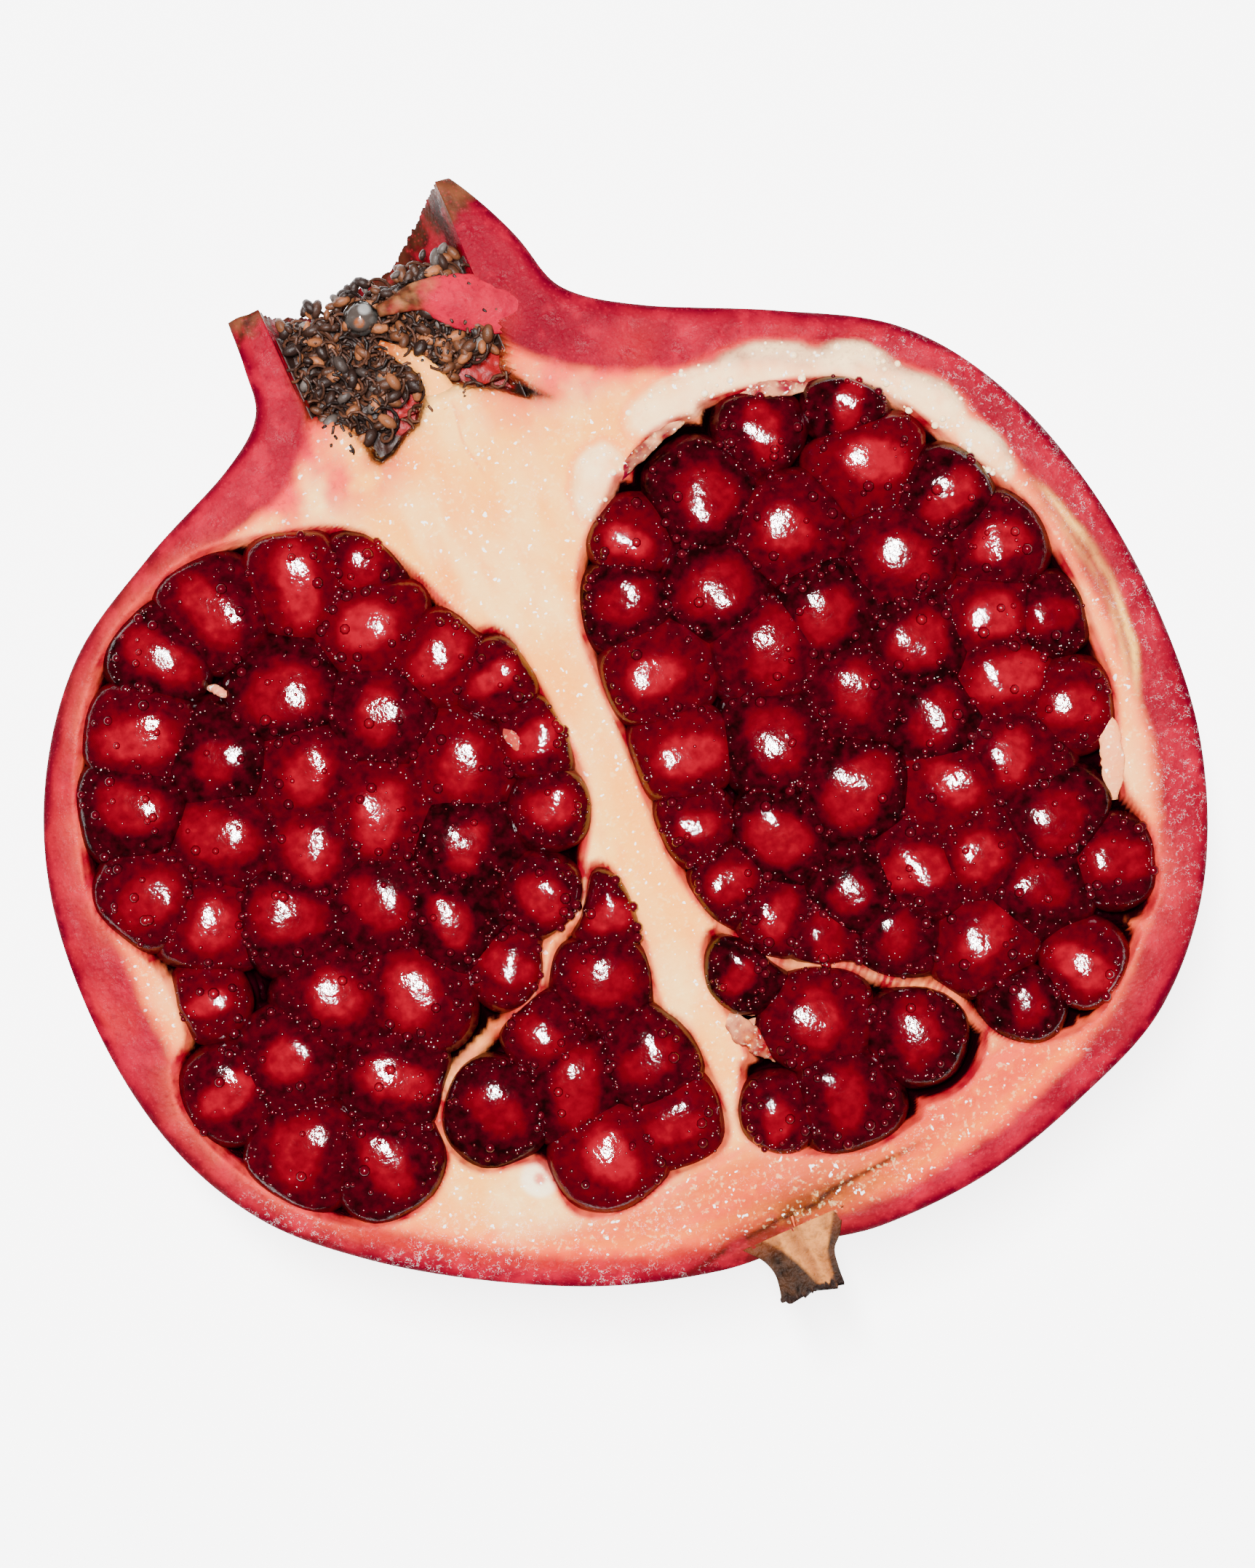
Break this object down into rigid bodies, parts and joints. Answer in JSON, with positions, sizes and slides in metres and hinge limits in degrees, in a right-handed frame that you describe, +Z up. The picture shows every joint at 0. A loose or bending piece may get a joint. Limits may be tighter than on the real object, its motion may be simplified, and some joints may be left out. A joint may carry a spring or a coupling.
{
  "type": "open pomegranate",
  "caption": "Pomegranate half lying cut face up, with red skin, cream pith, a toothed crown of dried stamens and chambers packed with dark red juicy arils.",
  "frame": {"origin": "middle of the small flat spot that the half rests on, under its weight", "axes": "+Z up out of the cut face, +Y from the stem towards the crown"},
  "size_m": [0.0981, 0.1007, 0.0479],
  "materials": {
    "rind": "satin crimson skin, moist and finely speckled",
    "pith": "moist cream flesh",
    "aril": "wet translucent dark red",
    "stamen": "dry brown",
    "stem": "dry cut wood with dark bark"
  },
  "bodies": {
    "root": {"rind": "rind", "pith": "pith", "arils_left": "aril", "arils_right": "aril", "arils_middle": "aril", "arils_lower_right": "aril", "stamens": "stamen", "stem": "stem"}
  },
  "joints": []
}
